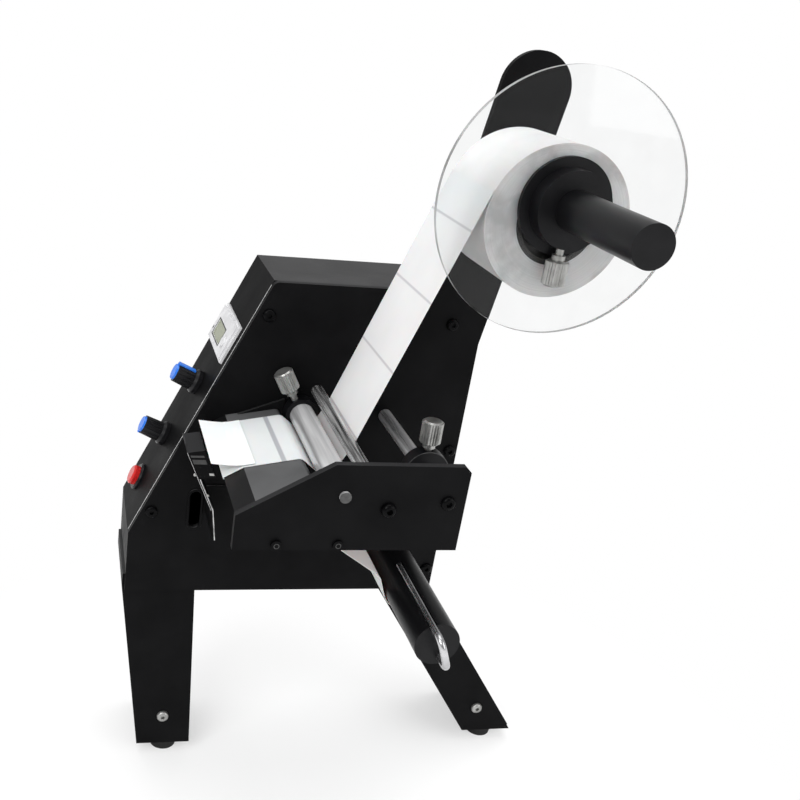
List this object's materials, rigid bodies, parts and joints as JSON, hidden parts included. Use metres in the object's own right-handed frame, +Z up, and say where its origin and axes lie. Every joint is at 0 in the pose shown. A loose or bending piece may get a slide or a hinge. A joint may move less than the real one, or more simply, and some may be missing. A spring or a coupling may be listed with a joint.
{
  "type": "label dispenser",
  "caption": "Bench label dispenser: black sheet metal box on splayed legs, roll arm with a clear disc, peel deck with cheek and rollers, rewind mandrel with a wire clip, knobs and a counter.",
  "frame": {"origin": "bottom centre of the whole machine, on the surface its feet stand on", "axes": "+X along the main plate toward the rear leg, +Y away from the roll side into the box, +Z up"},
  "size_m": [0.2886, 0.2192, 0.4688],
  "materials": {
    "black_paint": "satin powder coat",
    "black_anodised": "black anodised",
    "deck_metal": "smooth dark grey",
    "steel": "turned",
    "polished": "polished",
    "knurled": "nickel plated, knurled",
    "black_screws": "black oxide",
    "motor_steel": "zinc plated and lacquered",
    "rubber": "matt",
    "clear": "clear acrylic",
    "label_paper": "coated white",
    "liner_paper": "glassine",
    "card": "wound card",
    "black_plastic": "moulded",
    "blue_plastic": "moulded",
    "red_plastic": "moulded",
    "white_plastic": "moulded",
    "display": "clear over a grey-green display",
    "machined": "machined"
  },
  "bodies": {
    "frame": {"bottom_plate": "black_paint", "button_collar": "black_plastic", "cheek": "black_anodised", "cheek_bolts": "black_screws", "counter_bezel": "white_plastic", "counter_window": "display", "drive_belt": "rubber", "far_bolts": "black_screws", "far_panel": "black_paint", "front_leg": "black_paint", "guide_rod": "steel", "housing_cover": "black_paint", "knob_pots": "machined", "leg_screws": "knurled", "leg_tie_bars": "steel", "liner_return": "liner_paper", "lower_tie_rod": "black_anodised", "main_plate": "black_paint", "mandrel_bearing": "machined", "motor": "motor_steel", "motor_posts": "steel", "peel_deck": "deck_metal", "peeled_label": "label_paper", "plate_bolts": "black_screws", "plate_nuts": "steel", "polished_bar": "polished", "power_inlet": "black_plastic", "rear_leg": "black_paint", "rubber_feet": "rubber", "sensor_block": "black_plastic", "sensor_bracket": "black_paint", "spindle": "black_anodised", "tie_rod": "steel", "transformer": "motor_steel", "web_drop": "label_paper", "web_feed": "label_paper"},
    "roll": {"label_roll": "label_paper", "roll_core": "card"},
    "retainer": {"retaining_disc": "clear", "disc_hub": "black_anodised"},
    "retainer_screw": {"disc_hub_screw": "knurled"},
    "guide_stop": {"guide_collar": "black_anodised"},
    "guide_stop_screw": {"guide_collar_screw": "knurled"},
    "bar_stop": {"bar_collar": "black_anodised"},
    "bar_stop_screw": {"bar_collar_screw": "knurled"},
    "turning_roller": {"turning_roller": "steel"},
    "liner_roller": {"liner_roller": "rubber"},
    "pinch_roller": {"pinch_roller": "rubber"},
    "rewind": {"mandrel": "black_anodised", "mandrel_pulley": "machined"},
    "clip": {"mandrel_clip": "polished"},
    "motor_rotor": {"motor_pulley": "machined", "motor_shaft": "steel"},
    "upper_knob": {"upper_knob": "black_plastic", "upper_cap": "blue_plastic"},
    "lower_knob": {"lower_knob": "black_plastic", "lower_cap": "blue_plastic"},
    "start_button": {"push_button": "red_plastic"},
    "reset_button": {"counter_reset": "white_plastic"},
    "mains_switch": {"power_switch": "black_plastic"}
  },
  "joints": [
    {"name": "mandrel_spin", "type": "hinge", "parent": "frame", "child": "rewind", "pos_m": [0.01155, -0.0136, 0.1793], "axis": [0, -1, 0], "continuous": true},
    {"name": "motor_spin", "type": "hinge", "parent": "frame", "child": "motor_rotor", "pos_m": [-0.03275, 0.0684, 0.2285], "axis": [0, -1, 0], "continuous": true},
    {"name": "roll_spin", "type": "hinge", "parent": "frame", "child": "roll", "pos_m": [0.05284, 0.0054, 0.3926], "axis": [0, -1, 0], "continuous": true},
    {"name": "turning_roller_spin", "type": "hinge", "parent": "frame", "child": "turning_roller", "pos_m": [-0.03715, -0.0036, 0.2713], "axis": [0, -1, 0], "continuous": true},
    {"name": "liner_roller_spin", "type": "hinge", "parent": "frame", "child": "liner_roller", "pos_m": [-0.07575, -0.0036, 0.2441], "axis": [0, -1, 0], "continuous": true},
    {"name": "pinch_roller_spin", "type": "hinge", "parent": "frame", "child": "pinch_roller", "pos_m": [-0.07895, -0.0036, 0.2327], "axis": [0, -1, 0], "continuous": true},
    {"name": "clip_pull", "type": "slide", "parent": "rewind", "child": "clip", "axis": [0, -1, 0], "range_m": [0, 0.07]},
    {"name": "disc_slide", "type": "slide", "parent": "frame", "child": "retainer", "axis": [0, -1, 0], "range_m": [0, 0.07]},
    {"name": "disc_screw_turn", "type": "hinge", "parent": "retainer", "child": "retainer_screw", "pos_m": [0.05284, -0.0331, 0.3763], "axis": [0, 0, -1], "range_deg": [-180, 180]},
    {"name": "guide_collar_slide", "type": "slide", "parent": "frame", "child": "guide_stop", "axis": [0, 1, 0], "range_m": [-0.0262, 0.0622]},
    {"name": "guide_screw_turn", "type": "hinge", "parent": "guide_stop", "child": "guide_stop_screw", "pos_m": [0.00675, -0.0276, 0.277], "axis": [0, 0, 1], "range_deg": [-180, 180]},
    {"name": "bar_collar_slide", "type": "slide", "parent": "frame", "child": "bar_stop", "axis": [0, 1, 0], "range_m": [-0.0008, 0.0008]},
    {"name": "bar_screw_turn", "type": "hinge", "parent": "bar_stop", "child": "bar_stop_screw", "pos_m": [-0.05685, 0.0394, 0.27734], "axis": [-0.4802, 0, 0.8771], "range_deg": [-180, 180]},
    {"name": "upper_knob_turn", "type": "hinge", "parent": "frame", "child": "upper_knob", "pos_m": [-0.10315, 0.0784, 0.26119], "axis": [-0.9096, 0, 0.4155], "range_deg": [-150, 150]},
    {"name": "lower_knob_turn", "type": "hinge", "parent": "frame", "child": "lower_knob", "pos_m": [-0.12002, 0.0831, 0.22426], "axis": [-0.9096, 0, 0.4155], "range_deg": [-150, 150]},
    {"name": "push_button_press", "type": "slide", "parent": "frame", "child": "start_button", "axis": [0.9096, 0, -0.4155], "range_m": [0, 0.003], "stiffness_N_per_m": 150},
    {"name": "counter_reset_press", "type": "slide", "parent": "frame", "child": "reset_button", "axis": [0.9096, 0, -0.4155], "range_m": [0, 0.001], "stiffness_N_per_m": 200},
    {"name": "power_switch_rock", "type": "hinge", "parent": "frame", "child": "mains_switch", "pos_m": [0.05625, 0.0784, 0.1905], "axis": [0, 1, 0], "range_deg": [0, 8]}
  ],
  "couplings": [
    {"joint": "motor_spin", "follows": "mandrel_spin", "ratio": 1},
    {"joint": "roll_spin", "follows": "mandrel_spin", "ratio": 0.3498},
    {"joint": "turning_roller_spin", "follows": "mandrel_spin", "ratio": -3.1647},
    {"joint": "liner_roller_spin", "follows": "mandrel_spin", "ratio": 1.8054},
    {"joint": "pinch_roller_spin", "follows": "mandrel_spin", "ratio": -3.4051}
  ]
}
